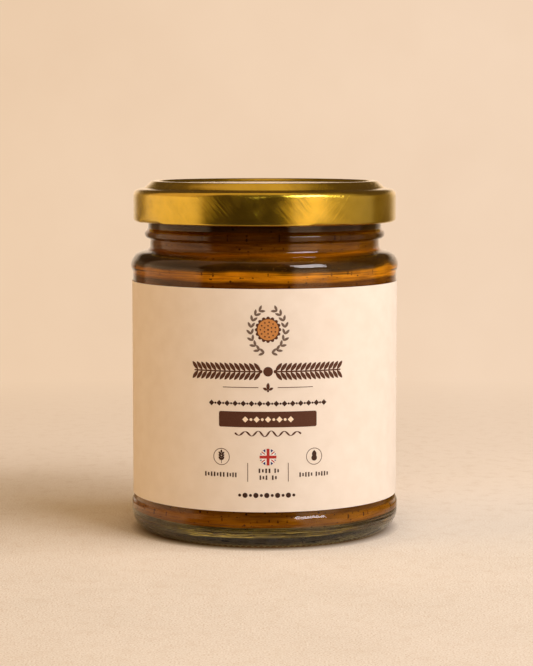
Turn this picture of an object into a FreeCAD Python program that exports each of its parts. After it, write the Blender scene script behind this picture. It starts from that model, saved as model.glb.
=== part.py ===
"""A glass jar of biscuit spread, shut with a pressed metal twist-off lid.

Millimetres, +Z up. The origin is the centre of the circle that the jar stands on, and the label's
printed front faces -Y. The document holds four bodies: the blown glass jar with its lug finish,
the spread that fills it, the paper label round its recessed panel, and the lid.
"""

import FreeCAD, Part

import math
import operator
import os
from collections import namedtuple

import Sketcher
from FreeCAD import Rotation, Vector

# Every driving dimension, in millimetres, degrees or a plain count. A "drop" is measured down
# from the sealing rim and a "rise" up from it, because the finish keeps its size in a taller jar.
SIZES = {
    # the glass body
    "body_radius": 33.5,
    "body_height": 86.4,
    "panel_recess": 0.45,
    "panel_step": 1.0,
    "edge_round": 0.4,
    "foot_band": 7.1,
    "heel_round": 4.8,
    "punt_radius": 25.2,
    "punt_depth": 1.2,
    "punt_rise": 1.0,
    "punt_dome": 60.0,
    "punt_slope": 2.3,
    "wall": 2.4,
    "base_thickness": 4.4,
    "base_round": 3.6,
    # the shoulder and neck
    "shoulder_drop": 20.3,
    "shoulder_corner_drop": 17.0,
    "shoulder_fall": 1.15,
    "shoulder_round": 3.5,
    "neck_radius": 28.7,
    "neck_round": 1.4,
    "bore_radius": 26.4,
    "throat_drop": 17.6,
    "throat_fall": 1.6,
    "throat_round": 3.0,
    # the transfer bead and the finish above it
    "bead_radius": 30.05,
    "bead_drop": 13.1,
    "bead_height": 2.5,
    "bead_slope": 0.9,
    "bead_round": 0.9,
    "finish_radius": 29.2,
    "rim_round": 1.0,
    # the thread lugs on the finish
    "thread_count": 4,
    "thread_reach": 1.4,
    "thread_root": 2.4,
    "thread_tip": 1.1,
    "thread_round": 0.28,
    "thread_drop": 8.2,
    "thread_rise": 3.1,
    "thread_turn": 0.2,
    "thread_lead": 31.0,
    # the spread
    "fill_drop": 7.6,
    "fill_climb": 0.6,
    "fill_margin": 1.5,
    "fill_round": 1.0,
    # the label
    "paper": 0.2,
    "label_margin": 1.2,
    "label_height": 53.4,
    "label_wrap": 343.0,
    # the lid
    "lid_radius": 32.9,
    "sheet_gauge": 0.2,
    "crest_rise": 0.95,
    "crest_radius": 28.3,
    "crest_width": 1.5,
    "crest_slope": 1.8,
    "crest_round": 0.5,
    "ledge_drop": 0.35,
    "ledge_fall": 0.6,
    "panel_rise": 0.45,
    "panel_slope": 0.9,
    "lid_round": 1.6,
    "skirt_drop": 9.0,
    "curl_width": 1.9,
    "curl_height": 2.5,
    "curl_round": 0.9,
    "curl_lip": 1.2,
    "lug_count": 4,
    "lug_angle": 17.0,
    "lug_reach": 1.35,
    "lug_height": 0.65,
    "lug_round": 0.25,
    "lug_bearing": 30.0,
}

FULL_TURN = 360.0
FRONT = -90.0  # the bearing of -Y, in degrees about +Z from +X
OVERLAP = 0.3  # how deep a thread or a lug is rooted in the wall that carries it

Corner = namedtuple("Corner", "across up round")


class Size:
    """A length known both as an expression on the sheet and as a number."""

    def __init__(self, text, value):
        self.text = text
        self.value = value

    def joined(self, sign, act, other):
        if not isinstance(other, Size):
            other = Size(str(other), float(other))
        return Size("(%s %s %s)" % (self.text, sign, other.text), act(self.value, other.value))

    def __add__(self, other):
        return self.joined("+", operator.add, other)

    def __sub__(self, other):
        return self.joined("-", operator.sub, other)

    def __mul__(self, other):
        return self.joined("*", operator.mul, other)

    def __truediv__(self, other):
        return self.joined("/", operator.truediv, other)


class Sizes:
    """The driving dimensions by name, each as a Size."""

    def __init__(self, sheet):
        for alias in SIZES:
            setattr(self, alias, Size("Sizes." + alias, float(sheet.get(alias))))
        self.panel_radius = self.body_radius - self.panel_recess
        self.cavity_radius = self.panel_radius - self.wall
        self.panel_low = self.foot_band + self.panel_step
        self.shoulder_low = self.body_height - self.shoulder_drop
        self.panel_high = self.shoulder_low - self.panel_step
        self.fill_level = self.body_height - self.fill_drop
        self.skirt_low = self.body_height - self.skirt_drop


# ---------------------------------------------------------------------------------------------
# The document and its sketches
# ---------------------------------------------------------------------------------------------


def make_sheet(doc):
    sheet = doc.addObject("Spreadsheet::Sheet", "Sizes")
    for row, (alias, value) in enumerate(SIZES.items(), start=1):
        sheet.set("A%d" % row, alias)
        sheet.set("B%d" % row, str(value))
        sheet.setAlias("B%d" % row, alias)
    doc.recompute()
    return sheet


def new_body(doc, label, bearing):
    """An empty body whose XZ plane is turned about +Z to a bearing in degrees."""
    body = doc.addObject("PartDesign::Body", label)
    body.Label = label
    body.Placement = FreeCAD.Placement(Vector(0, 0, 0), Rotation(Vector(0, 0, 1), bearing))
    return body


def origin_part(body, role):
    return next(part for part in body.Origin.OriginFeatures if part.Role == role)


def unit(start, end):
    return (end - start).normalize()


def rounding(before, corner, after, radius):
    """The tangent points and the centre of an arc that rounds a corner of an outline."""
    back = unit(corner, before)
    ahead = unit(corner, after)
    half = back.getAngle(ahead) / 2
    reach = radius / math.tan(half)
    centre = corner + unit(Vector(0, 0, 0), back + ahead) * (radius / math.sin(half))
    return corner + back * reach, corner + ahead * reach, centre


def tie(sketch, kind, geometry, point, size, name):
    """Holds one coordinate of a point, or a radius, at a size of the sheet."""
    if kind == "Radius":
        index = sketch.addConstraint(Sketcher.Constraint(kind, geometry, size.value))
    else:
        index = sketch.addConstraint(
            Sketcher.Constraint(kind, -1, 1, geometry, point, size.value)
        )
    sketch.renameConstraint(index, name)
    sketch.setExpression("Constraints." + name, size.text)


def place_corner(sketch, geometry, point, corner, number):
    """Fixes a corner by its distances from the axis and the base plane, or on either of them."""
    for kind, size, axis in (("DistanceX", corner.across, -2), ("DistanceY", corner.up, -1)):
        if size is None:
            sketch.addConstraint(Sketcher.Constraint("PointOnObject", geometry, point, axis))
        else:
            tie(sketch, kind, geometry, point, size, "%s_%d" % (kind[-1].lower(), number))


def outline(body, name, corners):
    """A closed outline of straight lines through the corners, rounded where a corner asks."""
    sketch = body.newObject("Sketcher::SketchObject", name)
    sketch.AttachmentSupport = (origin_part(body, "XZ_Plane"), [""])
    sketch.MapMode = "FlatFace"
    count = len(corners)
    spots = [
        Vector(c.across.value if c.across else 0, c.up.value if c.up else 0, 0) for c in corners
    ]
    arcs = {
        i: rounding(spots[i - 1], spots[i], spots[(i + 1) % count], corners[i].round.value)
        for i in range(count)
        if corners[i].round
    }
    for i in range(count):
        following = (i + 1) % count
        start = arcs[i][1] if i in arcs else spots[i]
        end = arcs[following][0] if following in arcs else spots[following]
        sketch.addGeometry(Part.LineSegment(start, end), False)
    for i, corner in enumerate(corners):
        before = (i - 1) % count
        if i not in arcs:
            sketch.addConstraint(Sketcher.Constraint("Coincident", before, 2, i, 1))
            place_corner(sketch, i, 1, corner, i)
            continue
        first, last, centre = arcs[i]
        turns_left = (spots[i] - spots[before]).cross(spots[(i + 1) % count] - spots[i]).z > 0
        opening, closing = (first, last) if turns_left else (last, first)
        angles = [math.atan2((p - centre).y, (p - centre).x) for p in (opening, closing)]
        circle = Part.Circle(centre, Vector(0, 0, 1), corner.round.value)
        arc = sketch.addGeometry(Part.ArcOfCircle(circle, *angles), False)
        mark = sketch.addGeometry(Part.Point(spots[i]), True)
        entry, leaving = (1, 2) if turns_left else (2, 1)
        sketch.addConstraint(Sketcher.Constraint("Tangent", before, 2, arc, entry))
        sketch.addConstraint(Sketcher.Constraint("Tangent", arc, leaving, i, 1))
        sketch.addConstraint(Sketcher.Constraint("PointOnObject", mark, 1, before))
        sketch.addConstraint(Sketcher.Constraint("PointOnObject", mark, 1, i))
        tie(sketch, "Radius", arc, None, corner.round, "round_%d" % i)
        place_corner(sketch, mark, 1, corner, i)
    return sketch


def revolve(body, name, sketch, angle=None):
    """Turns an outline about +Z: all the way round, or by an angle centred on its plane."""
    turned = body.newObject("PartDesign::Revolution", name)
    turned.Profile = sketch
    turned.ReferenceAxis = (sketch, ["V_Axis"])
    turned.Angle = FULL_TURN
    if angle is not None:
        turned.Midplane = True
        turned.setExpression("Angle", angle.text)
    return turned


def repeat_round(body, name, feature, count):
    pattern = body.newObject("PartDesign::PolarPattern", name)
    pattern.Originals = [feature]
    pattern.Axis = (origin_part(body, "Z_Axis"), [""])
    pattern.Angle = FULL_TURN
    pattern.setExpression("Occurrences", count.text)
    body.Tip = pattern
    return pattern


# ---------------------------------------------------------------------------------------------
# The glass jar
# ---------------------------------------------------------------------------------------------


def cavity_wall(s):
    """The inner face of the glass, from the throat down to the middle of the base."""
    throat = s.body_height - s.throat_drop
    return [
        Corner(s.bore_radius, throat, s.throat_round),
        Corner(s.cavity_radius, throat - s.throat_fall, s.throat_round),
        Corner(s.cavity_radius, s.base_thickness, s.base_round),
        Corner(None, s.base_thickness, None),
    ]


def outer_wall(s):
    """The outer face of the glass, from the middle of the base up to the rim."""
    shoulder = s.body_height - s.shoulder_corner_drop
    bead = s.body_height - s.bead_drop
    return [
        Corner(None, s.punt_depth + s.punt_rise, None),
        Corner(s.punt_radius / 2, s.punt_depth + s.punt_rise, s.punt_dome),
        Corner(s.punt_radius, s.punt_depth, s.punt_slope),
        Corner(s.punt_radius + s.punt_slope, None, s.edge_round),
        Corner(s.body_radius, None, s.heel_round),
        Corner(s.body_radius, s.foot_band, s.edge_round),
        Corner(s.panel_radius, s.panel_low, s.edge_round),
        Corner(s.panel_radius, s.panel_high, s.edge_round),
        Corner(s.body_radius, s.shoulder_low, s.edge_round),
        Corner(s.body_radius, shoulder, s.shoulder_round),
        Corner(s.neck_radius, shoulder + s.shoulder_fall, s.neck_round),
        Corner(s.neck_radius, bead, s.edge_round),
        Corner(s.bead_radius, bead, s.bead_round),
        Corner(s.bead_radius, bead + s.bead_height - s.bead_slope, s.bead_round),
        Corner(s.finish_radius, bead + s.bead_height, s.edge_round),
        Corner(s.finish_radius, s.body_height, s.rim_round),
    ]


def thread_section(s):
    """The cross-section of a thread lug at its low end, rooted in the finish."""
    middle = s.body_height - s.thread_drop
    root = s.finish_radius - OVERLAP
    tip = s.finish_radius + s.thread_reach
    return [
        Corner(root, middle - s.thread_root / 2, None),
        Corner(tip, middle - s.thread_tip / 2, s.thread_round),
        Corner(tip, middle + s.thread_tip / 2, s.thread_round),
        Corner(root, middle + s.thread_root / 2, None),
    ]


def build_glass(doc, s):
    body = new_body(doc, "glass_jar", FRONT + s.lug_bearing.value - s.thread_lead.value)
    rim = [Corner(s.bore_radius, s.body_height, s.rim_round)]
    section = outline(body, "JarSection", outer_wall(s) + rim + cavity_wall(s))
    revolve(body, "Jar", section)
    lug = body.newObject("PartDesign::AdditiveHelix", "ThreadLug")
    lug.Profile = outline(body, "ThreadSection", thread_section(s))
    lug.ReferenceAxis = (lug.Profile[0], ["V_Axis"])
    lug.Mode = "height-turns-angle"
    lug.setExpression("Height", s.thread_rise.text)
    lug.setExpression("Turns", s.thread_turn.text)
    repeat_round(body, "ThreadLugs", lug, s.thread_count)
    return body


# ---------------------------------------------------------------------------------------------
# What the jar holds and wears
# ---------------------------------------------------------------------------------------------


def build_spread(doc, s):
    """The spread fills the cavity and climbs a little where it wets the glass at its level."""
    body = new_body(doc, "spread", FRONT)
    surface = [
        Corner(None, s.fill_level, None),
        Corner(s.bore_radius - s.fill_margin, s.fill_level, s.fill_round),
        Corner(s.bore_radius, s.fill_level + s.fill_climb, None),
    ]
    section = outline(body, "SpreadSection", surface + cavity_wall(s))
    revolve(body, "Spread", section)
    return body


def build_label(doc, s):
    """The paper wraps the recessed panel and leaves a strip of bare glass at the back."""
    body = new_body(doc, "label", FRONT)
    low = s.panel_low + s.label_margin
    high = low + s.label_height
    outside = s.panel_radius + s.paper
    section = outline(
        body,
        "LabelSection",
        [
            Corner(s.panel_radius, low, None),
            Corner(outside, low, None),
            Corner(outside, high, None),
            Corner(s.panel_radius, high, None),
        ],
    )
    revolve(body, "Wrap", section, s.label_wrap)
    return body


# ---------------------------------------------------------------------------------------------
# The lid
# ---------------------------------------------------------------------------------------------


def lid_top(s):
    """The lid's outer face, from its middle over the raised ring and down round the curl."""
    crest = s.body_height + s.crest_rise
    ledge = s.body_height - s.ledge_drop
    panel = s.body_height + s.panel_rise
    inner_crest = s.crest_radius - s.crest_width
    curl_inside = s.lid_radius - s.curl_width
    return [
        Corner(None, panel, None),
        Corner(inner_crest - s.panel_slope, panel, s.crest_round),
        Corner(inner_crest, crest, s.crest_round),
        Corner(s.crest_radius, crest, s.crest_round),
        Corner(s.crest_radius + s.crest_slope, ledge, s.crest_round),
        Corner(s.lid_radius, ledge - s.ledge_fall, s.lid_round),
        Corner(s.lid_radius, s.skirt_low, s.curl_round),
        Corner(curl_inside, s.skirt_low, s.curl_round),
        Corner(curl_inside, s.skirt_low + s.curl_height, s.curl_lip / 2),
        Corner(curl_inside + s.curl_lip, s.skirt_low + s.curl_height, None),
    ]


def lid_underside(s):
    """The lid's inner face, from the end of the curl back to its middle.

    Sealing compound fills the ring's channel, so there the face is flat and sits on the rim.
    """
    gauge = s.sheet_gauge
    curl_round = s.curl_round - gauge
    curl_inside = s.lid_radius - s.curl_width + gauge
    curl_low = s.skirt_low + gauge
    curl_high = s.skirt_low + s.curl_height - gauge
    skirt = s.lid_radius - gauge
    ledge = s.body_height - s.ledge_drop - gauge
    panel = s.body_height + s.panel_rise - gauge
    return [
        Corner(s.lid_radius - s.curl_width + s.curl_lip, curl_high, None),
        Corner(curl_inside, curl_high, s.curl_lip / 2 - gauge),
        Corner(curl_inside, curl_low, curl_round),
        Corner(skirt, curl_low, curl_round),
        Corner(skirt, ledge - s.ledge_fall, s.lid_round - gauge),
        Corner(s.crest_radius + s.crest_slope, ledge, gauge),
        Corner(s.crest_radius + s.crest_slope / 2, s.body_height, gauge),
        Corner(s.bore_radius + gauge, s.body_height, gauge),
        Corner(s.bore_radius, panel, gauge / 2),
        Corner(None, panel, None),
    ]


def lug_section(s):
    """A lug is a stretch of the curl pressed flat and pushed in under a thread lug."""
    outer = s.lid_radius - s.curl_width + s.curl_round
    inner = s.lid_radius - s.curl_width - s.lug_reach
    low = s.skirt_low + s.sheet_gauge / 2
    high = low + s.lug_height
    return [
        Corner(outer, low, None),
        Corner(outer, high, None),
        Corner(inner, high, s.lug_round),
        Corner(inner, low, s.lug_round),
    ]


def build_lid(doc, s):
    body = new_body(doc, "lid", FRONT + s.lug_bearing.value)
    section = outline(body, "LidSection", lid_top(s) + lid_underside(s))
    revolve(body, "Shell", section)
    lug = revolve(body, "Lug", outline(body, "LugSection", lug_section(s)), s.lug_angle)
    repeat_round(body, "Lugs", lug, s.lug_count)
    return body


# ---------------------------------------------------------------------------------------------


def check(doc, bodies):
    """Stops the build on a failed object or a shape that isn't one valid, closed solid."""
    for thing in doc.Objects:
        if "Invalid" in thing.State or "Error" in thing.State:
            raise RuntimeError("%s failed: %s" % (thing.Label, thing.State))
    for body in bodies:
        shape = body.Shape
        if shape.isNull() or not shape.isValid() or len(shape.Solids) != 1:
            raise RuntimeError("%s isn't one valid solid" % body.Label)


def main():
    doc = FreeCAD.newDocument("BiscuitSpreadJar")
    sizes = Sizes(make_sheet(doc))
    bodies = [build(doc, sizes) for build in (build_glass, build_spread, build_label, build_lid)]
    doc.recompute()
    check(doc, bodies)
    os.makedirs("parts", exist_ok=True)
    for body in bodies:
        body.Shape.exportStep("parts/%s.step" % body.Label)
        print("%-10s %9.1f mm3" % (body.Label, body.Shape.Volume))


main()
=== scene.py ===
"""A shut glass jar of biscuit spread.

Moulded clear glass with a knurled foot, brown spread that wets the glass, a printed paper label in
the recessed panel, and a gold-lacquered twist-off lid. The pieces are shaped in millimetres in the
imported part's frame: +Z up, the jar stands on z = 0 and the label's printed front faces -Y.
"""

import math

import bmesh
import bpy
from mathutils import Matrix, Vector


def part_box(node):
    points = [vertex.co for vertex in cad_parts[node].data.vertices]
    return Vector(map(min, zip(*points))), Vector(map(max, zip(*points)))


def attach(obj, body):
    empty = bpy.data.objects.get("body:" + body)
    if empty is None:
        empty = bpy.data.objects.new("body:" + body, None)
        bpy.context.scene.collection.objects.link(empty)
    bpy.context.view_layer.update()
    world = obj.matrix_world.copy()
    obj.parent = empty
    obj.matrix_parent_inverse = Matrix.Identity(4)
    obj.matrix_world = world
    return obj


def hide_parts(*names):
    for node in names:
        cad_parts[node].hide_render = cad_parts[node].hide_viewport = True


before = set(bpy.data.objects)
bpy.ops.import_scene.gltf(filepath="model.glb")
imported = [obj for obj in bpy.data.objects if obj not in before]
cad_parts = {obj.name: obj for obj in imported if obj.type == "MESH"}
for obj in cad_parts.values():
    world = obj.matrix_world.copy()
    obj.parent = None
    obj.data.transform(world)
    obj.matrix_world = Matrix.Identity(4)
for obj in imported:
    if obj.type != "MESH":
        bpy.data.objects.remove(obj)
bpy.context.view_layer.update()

MM = 0.001
ROOT = "root"
FRONT = -90.0  # the bearing of -Y, in degrees about +Z from +X


def high_corner(node):
    """A node's highest corner in millimetres, without the small error of its facets."""
    return [round(value / MM, 2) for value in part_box(node)[1]]


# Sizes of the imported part: reaches from the axis, and heights.
BODY, _, RIM = high_corner("glass_jar")
LID, _, CREST = high_corner("lid")
PAPER_FACE, _, LABEL_TOP = high_corner("label")
LABEL_LOW = round(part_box("label")[0].z / MM, 2)
SKIRT_LOW = round(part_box("lid")[0].z / MM, 2)
BASE = round(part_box("spread")[0].z / MM, 2)

# The sections' own sizes, worked from those.
PAPER = 0.2
LABEL_MARGIN = 1.2
PANEL = PAPER_FACE - PAPER
PANEL_LOW = LABEL_LOW - LABEL_MARGIN
WALL = 2.4
CAVITY = PANEL - WALL
BORE = 26.4
THROAT = RIM - 17.6  # where the bore starts to widen to the cavity
HEAD_SPACE = 7.6
FILL = RIM - HEAD_SPACE

# The lugs that hold the lid: how many, and the bearing of the front right one from the front.
LUGS = 4
LUG_BEARING = 30.0


# ---------------------------------------------------------------------------------------------
# Outlines and turned solids
# ---------------------------------------------------------------------------------------------


def arc_points(before, corner, after, radius, step=0.22):
    """An arc that rounds the corner between two neighbours, as evenly spaced points."""
    back = (before - corner).normalized()
    ahead = (after - corner).normalized()
    half = back.angle(ahead) / 2
    centre = corner + (back + ahead).normalized() * (radius / math.sin(half))
    first = corner + back * (radius / math.tan(half)) - centre
    last = corner + ahead * (radius / math.tan(half)) - centre
    sweep = math.atan2(first.cross(last), first.dot(last))
    count = max(3, math.ceil(abs(sweep) / step))
    for i in range(count + 1):
        angle = sweep * i / count
        cosine, sine = math.cos(angle), math.sin(angle)
        turned_arm = Vector((cosine * first.x - sine * first.y, sine * first.x + cosine * first.y))
        yield centre + turned_arm


def rounded(corners):
    """The points of an outline whose corners are given as (across, up, radius)."""
    spots = [Vector(corner[:2]) for corner in corners]
    points = []
    for i, (*_, radius) in enumerate(corners):
        if radius:
            points += arc_points(spots[i - 1], spots[i], spots[(i + 1) % len(spots)], radius)
        else:
            points.append(spots[i])
    return points


def stepped(points, step):
    """The same outline with its long straight runs cut into steps."""
    result = [points[0]]
    for start, end in zip(points, points[1:]):
        count = max(1, math.ceil((end - start).length / step))
        result += [start.lerp(end, i / count) for i in range(1, count + 1)]
    return result


def turned(points, steps, angle=math.tau, start=0.0):
    """The outline spun about +Z from a start bearing in degrees."""
    whole_turn = angle == math.tau
    bm = bmesh.new()
    verts = [bm.verts.new((across * MM, 0, up * MM)) for across, up in points]
    edges = [bm.edges.new(pair) for pair in zip(verts, verts[1:])]
    if not whole_turn:
        edges.append(bm.edges.new((verts[-1], verts[0])))
    bmesh.ops.rotate(bm, verts=verts, matrix=Matrix.Rotation(math.radians(start), 3, "Z"))
    bmesh.ops.spin(
        bm,
        geom=verts + edges,
        axis=(0, 0, 1),
        angle=angle,
        steps=steps,
        use_merge=whole_turn,
    )
    bmesh.ops.remove_doubles(bm, verts=bm.verts, dist=MM / 500)
    if not whole_turn:
        bmesh.ops.holes_fill(bm, edges=bm.edges, sides=len(points))
    bmesh.ops.recalc_face_normals(bm, faces=bm.faces)
    return bm


def press(bm, move):
    """Moves each vertex by a rule on its bearing in degrees, and its reach and height."""
    for vert in bm.verts:
        across = math.hypot(vert.co.x, vert.co.y) / MM
        bearing = math.degrees(math.atan2(vert.co.y, vert.co.x))
        across, up = move(bearing, across, vert.co.z / MM)
        turn = math.radians(bearing)
        vert.co = Vector((across * math.cos(turn), across * math.sin(turn), up)) * MM
    return bm


def smooth(value):
    """0 below 0, 1 above 1, and an even slope between."""
    value = min(max(value, 0.0), 1.0)
    return value * value * (3 - 2 * value)


def placed(name, data):
    """An object of its own for a mesh, a lamp or a camera, linked into the scene."""
    obj = bpy.data.objects.new(name, data)
    bpy.context.scene.collection.objects.link(obj)
    return obj


def shaped(name, bm, finish):
    """A mesh object with one finish."""
    mesh = bpy.data.meshes.new(name)
    bm.to_mesh(mesh)
    bm.free()
    mesh.materials.append(finish)
    return placed(name, mesh)


def piece(name, bm, finish, slot, *nodes, soft=True):
    """A finished piece of the jar, riding on the one body in place of the nodes it stands for."""
    obj = shaped(name, bm, finish)
    if soft:
        obj.data.shade_smooth()
    else:
        obj.data.shade_flat()
    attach(obj, ROOT)
    if nodes:
        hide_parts(*nodes)
    return obj


# ---------------------------------------------------------------------------------------------
# Finishes
# ---------------------------------------------------------------------------------------------


class Value:
    """A node's output that takes part in arithmetic: each operator adds its Math node."""

    def __init__(self, tree, socket):
        self.tree = tree
        self.socket = socket

    def also(self, name):
        """Another output of the same node."""
        return Value(self.tree, self.socket.node.outputs[name])

    def worked(self, operation, *terms):
        """The result of a Math node on values and numbers."""
        node = self.tree.nodes.new("ShaderNodeMath")
        node.operation = operation
        for socket, term in zip(node.inputs, terms):
            if isinstance(term, Value):
                self.tree.links.new(term.socket, socket)
            else:
                socket.default_value = term
        return Value(self.tree, node.outputs[0])

    def __add__(self, other):
        return self.worked("ADD", self, other)

    __radd__ = __add__

    def __sub__(self, other):
        return self.worked("SUBTRACT", self, other)

    def __rsub__(self, other):
        return self.worked("SUBTRACT", other, self)

    def __mul__(self, other):
        return self.worked("MULTIPLY", self, other)

    __rmul__ = __mul__

    def __truediv__(self, other):
        return self.worked("DIVIDE", self, other)

    def __rtruediv__(self, other):
        return self.worked("DIVIDE", other, self)

    def __pow__(self, other):
        return self.worked("POWER", self, other)

    def __neg__(self):
        return self * -1.0


class Finish:
    """A material, or the world's light: one method adds its nodes, and a shader takes them."""

    def __init__(self, name, world=False):
        self.owner = bpy.data.worlds.new(name) if world else bpy.data.materials.new(name)
        self.owner.use_nodes = True
        self.tree = self.owner.node_tree
        self.tree.nodes.clear()

    def add(self, kind, settings=None, inputs=None, output=0):
        """Adds a node: its settings first, a ramp's stops among them, then values or links."""
        node = self.tree.nodes.new(kind)
        for key, value in (settings or {}).items():
            if key == "stops":
                ramp = node.color_ramp.elements
                while len(ramp) < len(value):
                    ramp.new(0.5)
                for element, (position, colour) in zip(ramp, value):
                    element.position = position
                    element.color = colour if len(colour) == 4 else (*colour, 1)
            else:
                setattr(node, key, value)
        for key, value in (inputs or {}).items():
            if isinstance(value, Value):
                self.tree.links.new(value.socket, node.inputs[key])
            else:
                node.inputs[key].default_value = value
        return Value(self.tree, node.outputs[output])

    def place(self):
        """The point on the piece, in millimetres."""
        point = self.add("ShaderNodeTexCoord", output="Object")
        settings = {"operation": "MULTIPLY"}
        return self.add("ShaderNodeVectorMath", settings, {0: point, 1: (1 / MM,) * 3})

    def split(self, vector):
        x = self.add("ShaderNodeSeparateXYZ", inputs={0: vector})
        return x, x.also("Y"), x.also("Z")

    def joined(self, x, y, z=0.0):
        return self.add("ShaderNodeCombineXYZ", inputs={0: x, 1: y, 2: z})

    def reach(self, x, y):
        """How far a point is from the jar's axis."""
        return (x * x + y * y) ** 0.5

    def drawn_out(self, x, y, z, around, up):
        """A point for a pattern drawn out round the jar: its marks per millimetre each way."""
        return self.joined(x * around, y * around, z * up)

    def unrolled(self, radius):
        """The wrapped surface laid flat: millimetres round from the front, and height."""
        x, y, z = self.split(self.place())
        return x.worked("ARCTAN2", x, -y) * radius, z

    def noise(self, vector, scale, detail=2.0, roughness=0.5):
        return self.add(
            "ShaderNodeTexNoise",
            inputs={"Vector": vector, "Scale": scale, "Detail": detail, "Roughness": roughness},
        )

    def between(self, value, low, high, to_low=0.0, to_high=1.0):
        """A value's place between two limits, held within them."""
        return self.add(
            "ShaderNodeMapRange",
            {"clamp": True},
            {"Value": value, 1: low, 2: high, 3: to_low, 4: to_high},
        )

    def blend(self, factor, first, second, kind="MIX"):
        """Two colours mixed."""
        pair = [c if isinstance(c, Value) else (*c, 1) for c in (first, second)]
        return self.add(
            "ShaderNodeMix",
            {"data_type": "RGBA", "blend_type": kind},
            {0: factor, 6: pair[0], 7: pair[1]},
            output=2,
        )

    def bump(self, height, strength, distance):
        return self.add(
            "ShaderNodeBump",
            inputs={"Height": height, "Strength": strength, "Distance": distance},
        )

    def surface(self, **sockets):
        """The Principled shader, with its sockets named in words joined by underscores."""
        named = {
            key.replace("_", " ").title().replace("Ior", "IOR"): value
            for key, value in sockets.items()
        }
        return self.add("ShaderNodeBsdfPrincipled", inputs=named)

    def done(self, shader, volume=None, output="ShaderNodeOutputMaterial"):
        """Ends the tree with its shader, and hands back the material or world."""
        node = self.tree.nodes.new(output)
        self.tree.links.new(shader.socket, node.inputs["Surface"])
        if volume is not None:
            self.tree.links.new(volume.socket, node.inputs["Volume"])
        return self.owner


GLASS_CLEAR = (0.97, 0.985, 0.95, 1)
GLASS_SHADE = (0.95, 0.96, 0.92, 1)  # what passes straight through to the spread and the floor
GLASS_OLIVE = (0.82, 0.76, 0.38, 1)
GLASS_IOR = 1.52
FOOT_STREAKS = 5.0  # how much more the foot is streaked than the wall is rippled
FOOT_TOP = 5.8


def glass_finish():
    """Clear glass, faintly olive where it is thick, with the soft ripple of a mould."""
    f = Finish("moulded_glass")
    x, y, z = f.split(f.place())
    ripple = f.noise(f.drawn_out(x, y, z, around=0.05, up=0.5), 1.0, detail=3.0)
    streak = f.noise(f.drawn_out(x, y, z - f.reach(x, y), around=0.04, up=1.6), 1.0, detail=2.0)
    at_foot = f.between(z, BASE, FOOT_TOP, FOOT_STREAKS, 0.0)
    glass = f.surface(
        base_color=GLASS_CLEAR,
        roughness=0.0,
        transmission_weight=1.0,
        ior=GLASS_IOR,
        normal=f.bump(ripple + streak * at_foot, strength=0.3, distance=0.0002),
    )
    lamp_ray = f.add("ShaderNodeLightPath", output="Is Shadow Ray")
    clear = f.add("ShaderNodeBsdfTransparent", inputs={"Color": GLASS_SHADE})
    tint = {"Color": GLASS_OLIVE, "Density": 60.0}
    tinted = f.add("ShaderNodeVolumeAbsorption", inputs=tint)
    return f.done(f.add("ShaderNodeMixShader", inputs={0: lamp_ray, 1: glass, 2: clear}), tinted)


# The spread's colour at each level: its brown with the glass's light and shade painted in, as dark
# bands of painted shade, a bright orange band of painted light at the shoulder, and painted shade
# deepening towards the lid.
SPREAD_PAINTED_LIGHT_BANDS = [
    (BASE, (0.60, 0.225, 0.006)),
    (BASE + 1.9, (0.58, 0.215, 0.006)),
    (BASE + 2.5, (0.50, 0.190, 0.006)),
    (BASE + 3.3, (0.50, 0.190, 0.006)),
    (BASE + 3.8, (0.54, 0.205, 0.006)),
    (RIM - 22.4, (0.19, 0.055, 0.001)),
    (RIM - 21.9, (0.74, 0.270, 0.006)),
    (RIM - 20.2, (0.74, 0.270, 0.006)),
    (RIM - 19.8, (0.04, 0.017, 0.001)),
    (RIM - 19.0, (0.04, 0.017, 0.001)),
    (RIM - 18.4, (0.10, 0.036, 0.001)),
    (RIM - 17.8, (0.38, 0.115, 0.002)),
    (RIM - 16.8, (0.38, 0.115, 0.002)),
    (RIM - 16.1, (0.31, 0.105, 0.002)),
    (RIM - 13.0, (0.31, 0.105, 0.002)),
    (RIM - 9.0, (0.11, 0.032, 0.001)),
]
SPREAD_CLOUD = (0.62, 0.60, 0.58)
SPREAD_SMEAR = (0.58, 0.52, 0.45)
SPREAD_GRAIN = (0.55, 0.20, 0.01)
SPREAD_CRUMB = (0.03, 0.010, 0.002)
# Painted shade and painted light for the underside seen through the glass base.
UNDER_PAINTED_SHADE = (0.05, 0.035, 0.01)
UNDER_PAINTED_LIGHT = (0.60, 0.49, 0.25)


def painted_light_bands(f, x, y, z):
    """The bands of painted light and shade by level, each a little wavy round the jar."""
    wave = f.noise(f.joined(x * 0.05, y * 0.05, 7.0), 1.0, detail=3.0)
    share = (z + (wave - 0.5) * 2.0 - BASE) / (RIM - BASE)
    stops = [((level - BASE) / (RIM - BASE), colour) for level, colour in SPREAD_PAINTED_LIGHT_BANDS]
    return f.add("ShaderNodeValToRGB", {"stops": stops}, {0: share})


def underside_painted_light_streaks(f, x, y):
    """The spread's underside, streaked round the jar in dark and pale olive: painted shade and
    painted light for what the thick glass base refracts.
    """
    across = f.drawn_out(x, y, f.reach(x, y), around=0.03, up=2.2)
    streak = f.noise(across, 1.0, detail=4.0, roughness=0.7)
    return f.blend(f.between(streak, 0.42, 0.58), UNDER_PAINTED_SHADE, UNDER_PAINTED_LIGHT)


def crumbs(f, point):
    """Where the small dark crumbs are, in sizes that differ from place to place."""
    crumb = f.add("ShaderNodeTexVoronoi", inputs={"Vector": point, "Scale": 0.8})
    crumb_size = f.noise(point, 0.8, detail=1.0)
    return f.between(crumb + crumb_size * 0.5, 0.36, 0.46, 1.0, 0.0)


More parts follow.
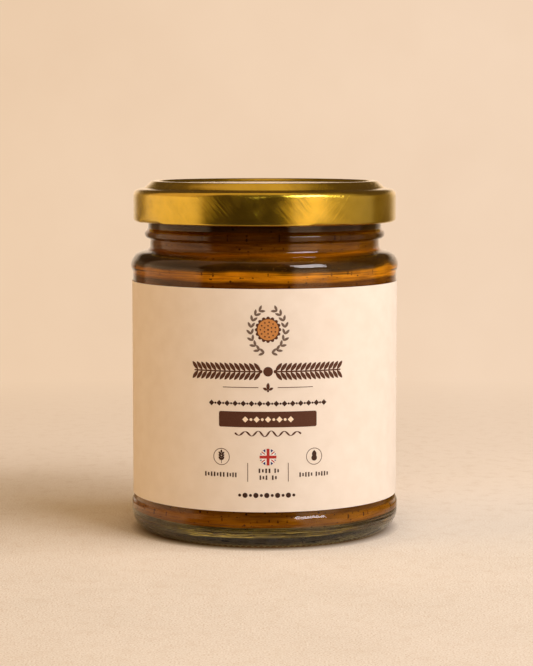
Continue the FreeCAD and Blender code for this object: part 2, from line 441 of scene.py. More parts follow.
def spread_finish():
    """Brown spread pressed to the glass: cloudy, crumbed, and painted with the glass's light and
    shade by level and on its underside.
    """
    f = Finish("biscuit_spread")
    point = f.place()
    x, y, z = f.split(point)
    cloud = f.noise(f.drawn_out(x, y, z, around=0.06, up=0.45), 1.0, detail=4.0, roughness=0.6)
    # Painted light and shade: the spread's colour set by level.
    colour = painted_light_bands(f, x, y, z)
    colour = f.blend(f.between(cloud, 0.35, 0.65), colour, SPREAD_CLOUD, "MULTIPLY")
    grain = f.noise(point, 2.2, detail=3.0, roughness=0.7)
    colour = f.blend(f.between(grain, 0.60, 0.78, 0.0, 0.3), colour, SPREAD_GRAIN)
    smear = f.noise(f.drawn_out(x, y, z, around=0.12, up=1.8), 1.0, detail=4.0, roughness=0.7)
    colour = f.blend(f.between(smear, 0.40, 0.62), colour, SPREAD_SMEAR, "MULTIPLY")
    # The underside gets painted light and shade in streaks.
    colour = f.blend(f.between(z, BASE + 0.5, BASE + 0.1), colour, underside_painted_light_streaks(f, x, y))
    colour = f.blend(crumbs(f, point) * 0.85, colour, SPREAD_CRUMB)
    return f.done(
        f.surface(
            base_color=colour,
            roughness=0.5,
            specular_ior_level=0.0,
            normal=f.bump(grain + cloud, strength=0.3, distance=0.0002),
        )
    )


HAIRLINE_SLANT = 50.0
HAIRLINES_PER_MM = 6.0
GOLD_DEEP = (0.77, 0.55, 0.045)
GOLD_PALE = (0.84, 0.61, 0.065)
LACQUER_TINT = (1.0, 0.92, 0.72, 1)


def hairlines(f, around, up, slant, seed):
    """Fine hairlines at a slant to the level, here and there on a wrapped surface."""
    cosine, sine = math.cos(math.radians(slant)), math.sin(math.radians(slant))
    along = around * cosine + up * sine
    across = up * cosine - around * sine
    spot = f.joined(along * 0.05, across * HAIRLINES_PER_MM, seed)
    line = f.noise(spot, 1.0, detail=2.0, roughness=0.6)
    patch = f.noise(f.joined(around * 0.15, up * 0.15, seed + 4.0), 1.0, detail=1.0)
    return f.between(line, 0.50, 0.62) * f.between(patch, 0.34, 0.66)


def gold_finish():
    """Gold-lacquered tinplate, satin, with hairlines from wiping and handling."""
    f = Finish("gold_lacquer")
    around, up = f.unrolled(LID)
    to_right = f.between(around, 9.0, 14.0)
    to_left = f.between(around, 9.0, 14.0, 1.0, 0.0)
    falling = hairlines(f, around, up, -HAIRLINE_SLANT, 1.0) * to_left
    rising = hairlines(f, around, up, HAIRLINE_SLANT, 9.0) * to_right
    dapple = f.noise(f.place(), 0.35, detail=3.0)
    colour = f.blend(f.between(dapple, 0.3, 0.7), GOLD_DEEP, GOLD_PALE)
    return f.done(
        f.surface(
            base_color=colour,
            metallic=1.0,
            roughness=f.between(dapple, 0.3, 0.7, 0.19, 0.26),
            coat_weight=1.0,
            coat_roughness=0.15,
            specular_tint=LACQUER_TINT,
            normal=f.bump(falling + rising, strength=0.5, distance=0.00003),
        )
    )


PAPER_DEEP = (0.795, 0.71, 0.63)
PAPER_PALE = (0.835, 0.755, 0.68)
PAPER_FIBRE = (0.90, 0.84, 0.77)


def paper_finish():
    """Uncoated cream paper with a little tooth."""
    f = Finish("label_paper")
    point = f.place()
    fibre = f.noise(point, 3.5, detail=4.0, roughness=0.7)
    mottle = f.noise(point, 0.25, detail=2.0)
    colour = f.blend(f.between(mottle, 0.3, 0.7), PAPER_DEEP, PAPER_PALE)
    colour = f.blend(f.between(fibre, 0.35, 0.7, 0.0, 0.12), colour, PAPER_FIBRE)
    return f.done(
        f.surface(
            base_color=colour,
            roughness=0.75,
            specular_ior_level=0.25,
            normal=f.bump(fibre, strength=0.15, distance=0.00008),
        )
    )


def ink_finish(name, colour):
    """Printing ink, a little uneven where the paper's tooth shows through."""
    f = Finish(name)
    tooth = f.noise(f.place(), 5.0, detail=3.0, roughness=0.7)
    lighter = tuple(channel * 1.25 + 0.01 for channel in colour)
    return f.done(
        f.surface(
            base_color=f.blend(f.between(tooth, 0.45, 0.75), colour, lighter),
            roughness=0.6,
            specular_ior_level=0.3,
        )
    )


# ---------------------------------------------------------------------------------------------
# The glass jar
# ---------------------------------------------------------------------------------------------

GLASS_STEPS = 512
CORNER = 0.4  # the mould's own small radius
HEEL = 4.8
PUSH_UP = 2.2  # how far the middle of the underside stands off the table
STAND_IN, STAND_OUT = 25.2, 27.5  # the slope up to the plain ring that the jar stands on
FOOT_BAND = PANEL_LOW - 0.8
PANEL_TOP = RIM - 21.3
SHOULDER = RIM - 17.0
NECK = 28.7
BEAD = 30.05
BEAD_LOW = RIM - 13.1
BEAD_TOP = BEAD_LOW + 2.5
BEAD_ROUND = 0.9
FINISH = 29.2
FINISH_STEP = 0.35  # the height of the facets that carry the thread lugs

KNURLS = 128
KNURL_DEPTH = 0.6
KNURL_RISE = 0.8
KNURL_IN = 27.0

THREAD_REACH = 1.4
THREAD_ROOT = 2.4
THREAD_TIP = 1.1
THREAD_LOW = RIM - 8.2
THREAD_CLIMB = 3.1
THREAD_TURN = 72.0
THREAD_LEAD = 31.0
THREAD_FADE = 14.0  # degrees over which each lug's ends run out


def cavity(extra=0.0):
    """The inside of the glass from the throat to the middle of the base, grown by an extra."""
    return [
        (BORE + extra, THROAT + extra, 3.0),
        (CAVITY + extra, THROAT - 1.6 + extra, 3.0),
        (CAVITY + extra, BASE - extra, 3.6),
        (0, BASE - extra, None),
    ]


def glass_outline():
    """The jar's section, from the middle of the underside, up the outside and down the inside."""
    body = [
        (0, PUSH_UP, None),
        (STAND_IN / 2, PUSH_UP, 60.0),
        (STAND_IN, PUSH_UP - 1.0, 2.3),
        (STAND_OUT, 0, CORNER),
        (BODY, 0, HEEL),
        (BODY, FOOT_BAND, 1.2),
        (PANEL, PANEL_LOW, CORNER),
        (PANEL, PANEL_TOP, CORNER),
        (BODY, PANEL_TOP + 1.0, CORNER),
        (BODY, SHOULDER, 3.5),
        (NECK, SHOULDER + 1.15, 1.4),
        (NECK, BEAD_LOW, CORNER),
        (BEAD, BEAD_LOW, BEAD_ROUND),
        (BEAD, BEAD_TOP - BEAD_ROUND, BEAD_ROUND),
        (FINISH, BEAD_TOP, CORNER),
    ]
    top = [(FINISH, RIM, 1.0), (BORE, RIM, 1.0)]
    points = rounded(body + top + cavity())
    finish_start = next(i for i, point in enumerate(points) if point.y > BEAD_TOP)
    finish_end = next(i for i, point in enumerate(points) if point.y > RIM - 1.1)
    finish = stepped(points[finish_start : finish_end + 1], FINISH_STEP)
    return points[:finish_start] + finish + points[finish_end + 1 :]


def moulded(bearing, across, up):
    """What the mould adds to the turned form: thread lugs, and short bars under the foot."""
    if up > THREAD_LOW - THREAD_ROOT and across > FINISH - 0.05:
        start = FRONT + LUG_BEARING - THREAD_LEAD
        turn = (bearing - start) % (360 / LUGS)
        middle = THREAD_LOW + THREAD_CLIMB * turn / THREAD_TURN
        slope = (THREAD_ROOT - THREAD_TIP) / 2
        flank = smooth((THREAD_ROOT / 2 - abs(up - middle)) / slope)
        ends = smooth(turn / THREAD_FADE) * smooth((THREAD_TURN - turn) / THREAD_FADE)
        across += THREAD_REACH * flank * ends
    if up < KNURL_RISE and across > KNURL_IN:
        valley = 0.5 - 0.5 * math.cos(math.radians(bearing * KNURLS))
        up += KNURL_DEPTH * valley * (1 - up / KNURL_RISE)
    return across, up


def make_glass():
    bm = press(turned(glass_outline(), GLASS_STEPS), moulded)
    piece("jar_glass", bm, glass_finish(), "clear_glass", "glass_jar")


# ---------------------------------------------------------------------------------------------
# The spread
# ---------------------------------------------------------------------------------------------

SPREAD_STEPS = 192
WETTING = 0.15  # how far the spread reaches into the wall, so that no air shows between them
CLIMB = 0.6  # how far the spread's edge is drawn up the glass


def make_spread():
    surface = [(0, FILL, None), (BORE - 1.5, FILL, 1.0), (BORE + WETTING, FILL + CLIMB, None)]
    bm = turned(stepped(rounded(surface + cavity(WETTING)), 4.0), SPREAD_STEPS)
    piece("spread_fill", bm, spread_finish(), "biscuit_spread", "spread")


# ---------------------------------------------------------------------------------------------
# The lid
# ---------------------------------------------------------------------------------------------

LID_STEPS = 360
GAUGE = 0.2
DISC = RIM + 0.45
DISC_EDGE = 25.9
CROWN = CREST + 0.2
CROWN_IN, CROWN_OUT = 26.8, 28.3
LEDGE = RIM - 0.55
LEDGE_IN = 30.1
BROW = LEDGE - 0.5
CURL_INSIDE = LID - 1.9
CURL_END = CURL_INSIDE + 1.2
CURL_HIGH = SKIRT_LOW + 2.5

LUG_HALF = 10.5  # half of a lug's width, in degrees
DENT_HEIGHT = 2.1
DENT_DEPTH = 0.55
TAB_REACH = 1.35


def lid_outline():
    """The lid's section: out along the top and down to the curl, then back along the inside."""
    top = [
        (0, DISC, None),
        (DISC_EDGE, DISC, 0.5),
        (CROWN_IN, CROWN, 0.5),
        (CROWN_OUT, CROWN, 0.5),
        (LEDGE_IN, LEDGE, 0.5),
        (LID, BROW, 1.6),
        (LID, SKIRT_LOW, 0.9),
        (CURL_INSIDE, SKIRT_LOW, 0.9),
        (CURL_INSIDE, CURL_HIGH, 0.6),
        (CURL_END, CURL_HIGH, None),
    ]
    underside = [
        (CURL_END, CURL_HIGH - GAUGE, None),
        (CURL_INSIDE + GAUGE, CURL_HIGH - GAUGE, 0.4),
        (CURL_INSIDE + GAUGE, SKIRT_LOW + GAUGE, 0.7),
        (LID - GAUGE, SKIRT_LOW + GAUGE, 0.7),
        (LID - GAUGE, BROW - GAUGE, 1.4),
        (LEDGE_IN, LEDGE - GAUGE, 0.2),
        (FINISH, RIM, 0.2),
        (BORE + GAUGE, RIM, 0.2),
        (BORE, DISC - GAUGE, 0.1),
        (0, DISC - GAUGE, None),
    ]
    return stepped(rounded(top + underside), 1.2)


def pressed_lugs(bearing, across, up):
    """Where a lug is pressed in, the skirt's foot is dished and the curl is pushed to the neck."""
    spacing = 360 / LUGS
    off = (bearing - FRONT - LUG_BEARING + spacing / 2) % spacing - spacing / 2
    share = off / LUG_HALF
    if abs(share) < 1 and up < CURL_HIGH + 0.1:
        if across > CURL_INSIDE + 1.0:
            edge = SKIRT_LOW + DENT_HEIGHT * math.sqrt(1 - share * share)
            across -= DENT_DEPTH * smooth((edge - up) / DENT_HEIGHT)
        else:
            width = smooth((1 - abs(share)) * 3.0)
            across -= TAB_REACH * width * smooth((CURL_HIGH - up) * 1.2)
    return across, up


def make_lid():
    bm = press(turned(lid_outline(), LID_STEPS), pressed_lugs)
    piece("twist_off_lid", bm, gold_finish(), "gold_lacquer", "lid")


# ---------------------------------------------------------------------------------------------
# The label and its print
# ---------------------------------------------------------------------------------------------

WRAP = 343  # how far the paper goes round the jar, in degrees, with a facet to each
PASTE = 0.02
CUT_EDGE = 0.06
INK = 0.03  # how far one layer of ink stands off the paper
INK_ROOT = 0.05  # how far it is sunk in, so that none of it stands clear of the paper
INK_STRIP = 0.9  # the widest strip of print that bends round the jar as one facet
PRINT_CENTRE = 0.85  # how far round from the front the print is centred


def make_label():
    section = [
        (PANEL + PASTE, LABEL_LOW, None),
        (PAPER_FACE, LABEL_LOW, CUT_EDGE),
        (PAPER_FACE, LABEL_TOP, CUT_EDGE),
        (PANEL + PASTE, LABEL_TOP, None),
    ]
    points = stepped(rounded(section), 9.0)
    bm = turned(points, WRAP, math.radians(WRAP), FRONT - WRAP / 2)
    piece("paper_label", bm, paper_finish(), "label_paper", "label")


def flat_spot(across, up, tilt=0.0):
    """A place on the flat print, turned by a tilt in degrees."""
    turn = Matrix.Rotation(math.radians(tilt), 4, "Z")
    return Matrix.Translation((across, up, 0)) @ turn


def flat_disc(bm, across, up, radius, sides=40):
    made = bmesh.ops.create_circle(
        bm, cap_ends=True, segments=sides, radius=radius, matrix=flat_spot(across, up)
    )
    return made["verts"]


def flat_ring(bm, across, up, radius, width, sides=56):
    verts = flat_disc(bm, across, up, radius, sides)
    faces = {face for vert in verts for face in vert.link_faces}
    bmesh.ops.inset_region(bm, faces=list(faces), thickness=width, use_boundary=True)
    bmesh.ops.delete(bm, geom=list(faces), context="FACES")


def flat_bar(bm, across, up, width, height, round_share=0.5, tilt=0.0):
    """A level bar, its ends rounded by a share of its height."""
    spot = flat_spot(across, up, tilt) @ Matrix.Diagonal((width, height, 1, 1))
    verts = bmesh.ops.create_grid(bm, x_segments=1, y_segments=1, size=0.5, matrix=spot)["verts"]
    if round_share:
        bmesh.ops.bevel(
            bm,
            geom=verts,
            offset=min(width, height) * round_share * 0.98,
            segments=5,
            profile=0.5,
            affect="VERTICES",
            material=-1,
        )


def flat_leaf(bm, across, up, length, width, tilt=0.0):
    """A leaf: a disc drawn out to a point at both ends, rooted at its lower end."""
    verts = flat_disc(bm, 0, 0, 0.5, 20)
    for vert in verts:
        along = vert.co.y * 2
        vert.co.x *= width * (1 - abs(along) ** 2.2) ** 0.35 if abs(along) < 1 else 0
        vert.co.y = (vert.co.y + 0.5) * length
    bmesh.ops.transform(bm, matrix=flat_spot(across, up, tilt), verts=verts)


def ringed(count, reach, offset=0.0):
    """Evenly spaced places on a circle about the biscuit's middle."""
    for i in range(count):
        turn = math.tau * (i + offset) / count
        yield reach * math.cos(turn), BISCUIT_ROW + reach * math.sin(turn)


def whole(bm):
    return bm.verts[:] + bm.edges[:] + bm.faces[:]


def printed(name, draw, colour, layers=1.0):
    """Ink drawn flat by a function, in millimetres up from the label's lower edge, then wrapped."""
    bm = bmesh.new()
    draw(bm)
    edge = max(abs(vert.co.x) for vert in bm.verts)
    cut = -edge + INK_STRIP
    while cut < edge:
        bmesh.ops.bisect_plane(bm, geom=whole(bm), plane_co=(cut, 0, 0), plane_no=(1, 0, 0))
        cut += INK_STRIP
    raised = bmesh.ops.extrude_face_region(bm, geom=bm.faces[:])["geom"]
    top = {item for item in raised if isinstance(item, bmesh.types.BMVert)}
    for vert in bm.verts:
        reach = PAPER_FACE + (INK * layers if vert in top else -INK_ROOT)
        turn = math.radians(FRONT) + (vert.co.x + PRINT_CENTRE) / PAPER_FACE
        up = vert.co.y + LABEL_LOW
        vert.co = Vector((reach * math.cos(turn), reach * math.sin(turn), up)) * MM
    bmesh.ops.recalc_face_normals(bm, faces=bm.faces)
    return piece(name, bm, ink_finish(name + "_ink", colour), "label_paper", soft=False)


# Inks
BROWN = (0.085, 0.028, 0.014)
DARK = (0.045, 0.017, 0.010)
GREY = (0.16, 0.11, 0.085)
CREAM = (0.86, 0.72, 0.56)
TAN = (0.52, 0.22, 0.06)
RED = (0.42, 0.03, 0.025)
BLUE = (0.02, 0.03, 0.16)
WHITE = (0.82, 0.80, 0.78)


# The rows of the print, by their height above the label's lower edge.
WREATH_ROW = 43.58
BISCUIT_ROW = 43.78
GARLAND_ROW = 33.78
RULE_ROW = 29.98
LOZENGE_ROW = 26.13
BANNER_ROW = 22.33
FLOURISH_ROW = 18.93
FLAG_ROW = 13.33
RING_ROW = 13.23
DIVIDER_ROW = 9.63
CAPTION_ROW = 8.93
FOOT_ROW = 4.08

SIDES = (-1, 1)


def draw_wreath(bm):
    """Two ears of wheat that curve up round the biscuit."""
    for side in SIDES:
        for i in range(9):
            turn = -78 + i * 17
            across = side * 4.1 * math.cos(math.radians(turn))
            up = WREATH_ROW + 5.4 * math.sin(math.radians(turn))
            for lean in (-34, 30):
                flat_leaf(bm, across, up, 1.55, 0.62, side * (turn + lean))


def draw_biscuit_edge(bm):
    """The biscuit's scalloped rim."""
    flat_disc(bm, 0, BISCUIT_ROW, 2.75, 48)
    for across, up in ringed(16, 2.72):
        flat_disc(bm, across, up, 0.42, 12)


def draw_biscuit_face(bm):
    flat_disc(bm, 0, BISCUIT_ROW, 2.5, 48)


def draw_biscuit_holes(bm):
    flat_disc(bm, 0, BISCUIT_ROW, 0.24, 12)
    for count, reach in ((6, 0.95), (11, 1.8)):
        for across, up in ringed(count, reach, 0.5):
            flat_disc(bm, across, up, 0.2, 12)


def draw_garland(bm):
    """A garland of leaves and berries where a title would stand."""
    pairs, half_length = 15, 18.0
    for i in range(-pairs, pairs + 1):
        if abs(i) < 2:
            continue
        side = 1 if i > 0 else -1
        root = i * half_length / pairs - side * 0.6
        for lean in SIDES:
            flat_leaf(bm, root, GARLAND_ROW + lean * 0.12, 2.45, 0.9, side * (lean * 52 - 90))
    for side in SIDES:
        flat_bar(bm, side * 10.2, GARLAND_ROW, 16.4, 0.34)
    flat_disc(bm, 0, GARLAND_ROW, 1.15)
    for side in SIDES:
        flat_disc(bm, side * 1.75, GARLAND_ROW, 0.42, 20)


def draw_rules(bm):
    """Two fine rules with a three-petalled ornament between them."""
    root = RULE_ROW - 0.65
    for side in SIDES:
        flat_bar(bm, side * 6.6, RULE_ROW, 8.6, 0.16, 0)
        flat_leaf(bm, side * 0.12, root, 1.25, 0.62, -side * 62)
    flat_leaf(bm, 0, root + 0.05, 1.75, 0.8)
    flat_disc(bm, 0, root - 0.2, 0.26, 16)


def flat_lozenge(bm, across, up, side):
    flat_bar(bm, across, up, side, side, 0, tilt=45)


def draw_lozenges(bm):
    """A row of small lozenges and dots."""
    count, length = 29, 27.6
    for i in range(count):
        across = (i - (count - 1) / 2) * length / (count - 1)
        if i % 2:
            flat_disc(bm, across, LOZENGE_ROW, 0.26, 12)
        else:
            flat_lozenge(bm, across, LOZENGE_ROW, 0.98)


def draw_banner(bm):
    flat_bar(bm, 0, BANNER_ROW, 23.8, 3.75, 0.12)


def draw_banner_beads(bm):
    spacing = 1.36
    for i in range(-4, 5):
        if i % 2:
            flat_disc(bm, i * spacing, BANNER_ROW, 0.34, 16)
        else:
            flat_lozenge(bm, i * spacing, BANNER_ROW, 1.05)


def draw_flourish(bm):
    """A fine wave that swells and thins as a pen would draw it."""
    count, half_length, waves = 84, 7.8, 5
    for i in range(count):
        share = i / (count - 1) * 2 - 1
        swing = math.sin(share * math.pi * waves) * (1 - 0.45 * abs(share))
        nib = 0.17 + 0.07 * math.cos(share * math.pi * waves * 2)
        flat_disc(bm, share * half_length, FLOURISH_ROW + 0.72 * swing, nib, 8)


RING_ACROSS = 11.3


def draw_rings(bm):
    for side in SIDES:
        flat_ring(bm, side * RING_ACROSS, RING_ROW, 2.05, 0.17)


def draw_ring_signs(bm):
    """An ear of grain in one ring and a drop in the other."""
    stem = RING_ROW - 0.85
    for i in range(3):
        for lean in SIDES:
            flat_leaf(bm, -RING_ACROSS, stem + i * 0.62, 1.05, 0.5, lean * 42)
    flat_leaf(bm, -RING_ACROSS, stem + 1.7, 0.85, 0.45)
    flat_bar(bm, -RING_ACROSS, stem, 0.14, 1.5, 0)
    flat_disc(bm, RING_ACROSS, RING_ROW - 0.35, 0.72, 28)
    flat_leaf(bm, RING_ACROSS, RING_ROW - 0.43, 1.9, 1.15)


def draw_dividers(bm):
    for side in SIDES:
        flat_bar(bm, side * 4.86, DIVIDER_ROW, 0.18, 4.5, 0)


# Rows of strokes for small print: across, up from the caption row, width, height and strokes.
CAPTIONS = [
    (-13.05, 0.0, 5.4, 1.1, 7),
    (-8.75, 0.0, 2.7, 1.1, 4),
    (9.2, 0.0, 3.6, 1.1, 5),
    (13.3, 0.0, 3.6, 1.1, 5),
    (-0.85, 1.1, 3.2, 1.05, 4),
    (2.05, 1.1, 1.4, 1.05, 2),
    (-1.1, -0.55, 2.2, 1.05, 3),
    (1.5, -0.55, 1.5, 1.05, 2),
]


def draw_captions(bm):
    """Upright strokes where small print would stand, and about as dark."""
    for across, raised, width, height, count in CAPTIONS:
        step = width / count
        for i in range(count):
            spot = across + (i + 0.5 - count / 2) * step
            tall = height * (0.7 if i % 3 == 1 else 1.0)
            flat_bar(bm, spot, CAPTION_ROW + raised, step * 0.5, tall, 0)


def draw_foot_row(bm):
    """A row of beads where the weight would stand."""
    for i in range(-5, 6):
        flat_disc(bm, i * 1.3 - 0.3, FOOT_ROW, 0.36 if i % 2 else 0.62, 20)


FLAG_RADIUS = 2.0
FLAG_TILT = 40  # the diagonals' slant, in degrees
DIAGONAL = 5.0
CROSS = 4.2


def draw_flag_field(bm):
    flat_disc(bm, 0, FLAG_ROW, FLAG_RADIUS, 48)


def flag_clipped(bm):
    """Cuts what was drawn to the flag's round edge."""
    sides = 24
    for i in range(sides):
        turn = math.tau * i / sides
        out = Vector((math.cos(turn), math.sin(turn), 0))
        edge = Vector((0, FLAG_ROW, 0)) + out * FLAG_RADIUS
        bmesh.ops.bisect_plane(
            bm, geom=whole(bm), plane_co=edge, plane_no=out, clear_outer=True
        )


def flag_diagonals(width):
    """What draws the flag's two slanting bars at a width."""

    def draw(bm):
        for tilt in (FLAG_TILT, -FLAG_TILT):
            flat_bar(bm, 0, FLAG_ROW, DIAGONAL, width, 0, tilt)
        flag_clipped(bm)

    return draw


def flag_cross(width):
    """What draws the flag's level and upright bars at a width."""

    def draw(bm):
        flat_bar(bm, 0, FLAG_ROW, CROSS, width, 0)
        flat_bar(bm, 0, FLAG_ROW, width, CROSS, 0)
        flag_clipped(bm)

    return draw


def make_print():
    printed("print_wreath", draw_wreath, GREY)
    printed("print_biscuit_edge", draw_biscuit_edge, BROWN)
    printed("print_biscuit_face", draw_biscuit_face, TAN, 1.5)
    printed("print_biscuit_holes", draw_biscuit_holes, BROWN, 2.0)
    printed("print_garland", draw_garland, BROWN)
    printed("print_rules", draw_rules, BROWN)
    printed("print_lozenges", draw_lozenges, DARK)
    printed("print_banner", draw_banner, BROWN)
    printed("print_banner_beads", draw_banner_beads, CREAM, 1.6)
    printed("print_flourish", draw_flourish, BROWN)
    printed("print_rings", draw_rings, GREY)
    printed("print_ring_signs", draw_ring_signs, DARK)
    printed("print_dividers", draw_dividers, GREY)
    printed("print_captions", draw_captions, DARK)
    printed("print_foot_row", draw_foot_row, DARK)
    printed("flag_field", draw_flag_field, BLUE)
    printed("flag_white_diagonals", flag_diagonals(0.78), WHITE, 1.3)
    printed("flag_red_diagonals", flag_diagonals(0.26), RED, 1.6)
    printed("flag_white_cross", flag_cross(1.25), WHITE, 1.9)
    printed("flag_red_cross", flag_cross(0.72), RED, 2.2)


# ---------------------------------------------------------------------------------------------
# The room: floor, light and camera
# ---------------------------------------------------------------------------------------------

# The camera's place in metres, its tilt down in degrees, and its lens in millimetres.
CAMERA_BACK = 0.540
CAMERA_HEIGHT = 0.1003
CAMERA_ASIDE = 0.00048
CAMERA_PITCH = 5.41
LENS = 116.2

LEFT_WALL = (0.870, 0.635, 0.437)
RIGHT_WALL = (0.915, 0.690, 0.505)
WALL_CLOUD = (0.95, 0.935, 0.92)

FLOOR_DEEP = (0.775, 0.715, 0.635)
FLOOR_PALE = (0.825, 0.765, 0.685)
FLOOR_PIT = (0.60, 0.47, 0.35)
FLOOR_FLECK = (0.93, 0.86, 0.78)
# Painted light, for the floor behind the jar.
FLOOR_PAINTED_LIGHT = (0.95, 0.86, 0.77)
FLOOR_SMUDGE = (0.62, 0.49, 0.37)
# Painted contact shadow, for the floor under the jar.
FLOOR_PAINTED_CONTACT_SHADOW = (0.10, 0.05, 0.02)
FLOOR_RADIUS = 6.0

# The light round the jar: bearings from the front, and what shines from each, low and higher up.
LOW_LIGHT = [
    (-180, (1.20, 0.92, 0.68)),
    (-156, (1.00, 0.76, 0.54)),
    (-146, (0.30, 0.19, 0.09)),
    (-128, (0.30, 0.19, 0.09)),
    (-122, (1.10, 0.75, 0.42)),
    (-58, (1.10, 0.75, 0.42)),
    (-52, (0.06, 0.04, 0.02)),
    (22, (0.045, 0.03, 0.015)),
    (27, (1.50, 1.04, 0.62)),
    (52, (1.50, 1.04, 0.62)),
    (60, (0.52, 0.37, 0.22)),
    (104, (0.45, 0.34, 0.22)),
    (112, (0.19, 0.115, 0.03)),
    (138, (0.20, 0.125, 0.04)),
    (156, (1.00, 0.76, 0.54)),
    (180, (1.20, 0.92, 0.68)),
]
HIGH_LIGHT = [
    (-180, (0.08, 0.05, 0.02)),
    (-128, (0.10, 0.06, 0.03)),
    (-122, (0.70, 0.43, 0.22)),
    (-64, (0.70, 0.43, 0.22)),
    (-57, (0.07, 0.045, 0.025)),
    (22, (0.07, 0.05, 0.03)),
    (30, (0.60, 0.46, 0.32)),
    (90, (0.35, 0.25, 0.14)),
    (112, (0.10, 0.06, 0.03)),
    (180, (0.08, 0.05, 0.02)),
]
OVERHEAD = (0.66, 0.45, 0.22)

# Each soft lamp: its bearing from the front, its height and its distance from the jar's axis, its
# width and depth, its power in watts, its colour, and whether glass and metal mirror it.
LAMPS = {
    "key": (44.5, 0.66, 0.72, 0.40, 0.34, 3.6, (1.0, 0.96, 0.95), True),
    "side_key": (78.0, 0.62, 0.76, 0.60, 0.50, 4.1, (1.0, 0.96, 0.95), False),
    "front_fill": (6.0, 0.72, 0.70, 0.80, 0.50, 1.7, (1.0, 0.91, 0.78), False),
    "left_fill": (-76.0, 0.34, 0.80, 0.50, 0.40, 1.15, (1.0, 0.53, 0.07), False),
}


def ring_of_light(f, x, y, lights):
    """The light that stands round the jar in the direction of a point."""
    stops = [(bearing / 360 + 0.5, colour) for bearing, colour in lights]
    share = x.worked("ARCTAN2", x, -y) / math.tau + 0.5
    return f.add("ShaderNodeValToRGB", {"stops": stops}, {0: share})


def wall_colour(f, x, y, z):
    """The backdrop in a direction from the camera: cloudy, and a little deeper to the left."""
    cloud = f.noise(f.joined(x / y * 9.0, z / y * 9.0), 1.0, detail=4.0, roughness=0.6)
    colour = f.blend(f.between(x / y, -0.12, 0.10), LEFT_WALL, RIGHT_WALL)
    return f.blend(f.between(cloud, 0.3, 0.7), colour, WALL_CLOUD, "MULTIPLY")


def floor_board(f, point, x, y, reach):
    """A pale board: grained, smudged in places, with painted light behind the jar and a painted
    contact shadow beneath it.
    """
    mottle = f.noise(point, 0.04, detail=3.0)
    grain = f.noise(point, 2.4, detail=3.0, roughness=0.65)
    smudge = f.noise(f.joined(x * 0.24, y * 0.20), 1.0, detail=5.0, roughness=0.7)
    colour = f.blend(f.between(mottle, 0.3, 0.7), FLOOR_DEEP, FLOOR_PALE)
    colour = f.blend(f.between(grain, 0.52, 0.66), colour, FLOOR_PIT)
    colour = f.blend(f.between(grain, 0.48, 0.36), colour, FLOOR_FLECK)
    # Painted light: the board lighter behind the jar.
    colour = f.blend(f.between(y + x * 0.4, -20.0, 70.0, 0.0, 0.7), colour, FLOOR_PAINTED_LIGHT)
    colour = f.blend(f.between(smudge, 0.50, 0.72, 0.0, 0.30), colour, FLOOR_SMUDGE)
    # Painted contact shadow: the board dark under the jar's foot.
    colour = f.blend(f.between(reach, 34.2, 29.5), colour, FLOOR_PAINTED_CONTACT_SHADOW)
    return f.surface(
        base_color=colour,
        roughness=0.9,
        specular_ior_level=0.1,
        normal=f.bump(grain, strength=0.15, distance=0.0003),
    )


def floor_finish():
    """The board near the jar, which turns into the backdrop's own colour in the distance."""
    f = Finish("floor_board")
    point = f.place()
    x, y, _ = f.split(point)
    reach = f.reach(x, y)
    board = floor_board(f, point, x, y, reach)
    wall = wall_colour(f, x, y + CAMERA_BACK / MM, -CAMERA_HEIGHT / MM)
    glow = f.add("ShaderNodeEmission", inputs={"Color": wall, "Strength": 1.0})
    far = f.between(reach, 95.0, 330.0)
    ground = f.add("ShaderNodeMixShader", inputs={0: far, 1: board, 2: glow})
    # Painted reflection: glossy rays that meet the floor near the jar see a glowing ring of room
    # light instead of the board.
    around = ring_of_light(f, x, y, LOW_LIGHT)
    beyond = f.add("ShaderNodeEmission", inputs={"Color": around, "Strength": 0.8})
    mirrored = f.add("ShaderNodeLightPath", output="Is Glossy Ray") * f.between(reach, 36.0, 70.0)
    return f.done(f.add("ShaderNodeMixShader", inputs={0: mirrored, 1: ground, 2: beyond}))


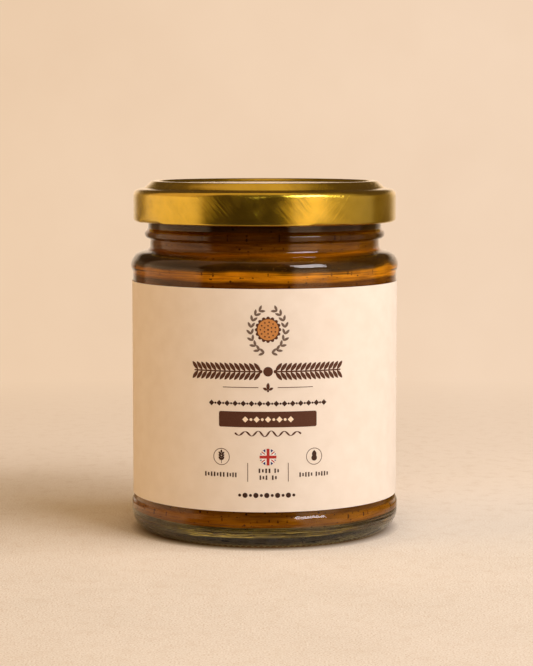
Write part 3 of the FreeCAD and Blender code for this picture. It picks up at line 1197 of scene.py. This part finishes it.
def make_floor():
    bm = bmesh.new()
    bmesh.ops.create_circle(bm, cap_ends=True, segments=64, radius=FLOOR_RADIUS)
    shaped("floor", bm, floor_finish())


def make_room():
    """Light from round about and above, before a backdrop of one colour."""
    f = Finish("studio", world=True)
    x, y, z = f.split(f.add("ShaderNodeTexCoord", output="Generated"))
    low = ring_of_light(f, x, y, LOW_LIGHT)
    high = ring_of_light(f, x, y, HIGH_LIGHT)
    light = f.blend(f.between(z, 0.18, 0.30), low, high)
    light = f.blend(f.between(z, 0.90, 0.96), light, OVERHEAD)
    seen = f.add("ShaderNodeLightPath", output="Is Camera Ray")
    room = f.add("ShaderNodeBackground", inputs={"Color": light, "Strength": 1.0})
    wall = wall_colour(f, x, y, z)
    backdrop = f.add("ShaderNodeBackground", inputs={"Color": wall, "Strength": 1.0})
    mixed = f.add("ShaderNodeMixShader", inputs={0: seen, 1: room, 2: backdrop})
    bpy.context.scene.world = f.done(mixed, output="ShaderNodeOutputWorld")


def make_lamp(name, bearing, height, distance, width, depth, power, colour, mirrored):
    """A soft oblong lamp round the jar, aimed at the jar's middle."""
    data = bpy.data.lights.new(name, "AREA")
    data.shape = "RECTANGLE"
    data.size = width
    data.size_y = depth
    data.energy = power
    data.color = colour
    lamp = placed(name, data)
    turn = math.radians(FRONT + bearing)
    lamp.location = (distance * math.cos(turn), distance * math.sin(turn), height)
    aim = Vector((0, 0, RIM * MM / 2)) - lamp.location
    lamp.rotation_euler = aim.to_track_quat("-Z", "Y").to_euler()
    lamp.visible_glossy = mirrored


def make_camera():
    data = bpy.data.cameras.new("camera")
    data.sensor_width = 36.0
    data.lens = LENS
    data.clip_start = 0.01
    data.clip_end = 50.0
    camera = placed("camera", data)
    camera.location = (CAMERA_ASIDE, -CAMERA_BACK, CAMERA_HEIGHT)
    camera.rotation_euler = (math.radians(90 - CAMERA_PITCH), 0, 0)
    bpy.context.scene.camera = camera


make_camera()
make_floor()
make_room()
for lamp_name, lamp_facts in LAMPS.items():
    make_lamp(lamp_name, *lamp_facts)
make_glass()
make_spread()
make_lid()
make_label()
make_print()
bpy.context.scene.view_settings.view_transform = "Standard"
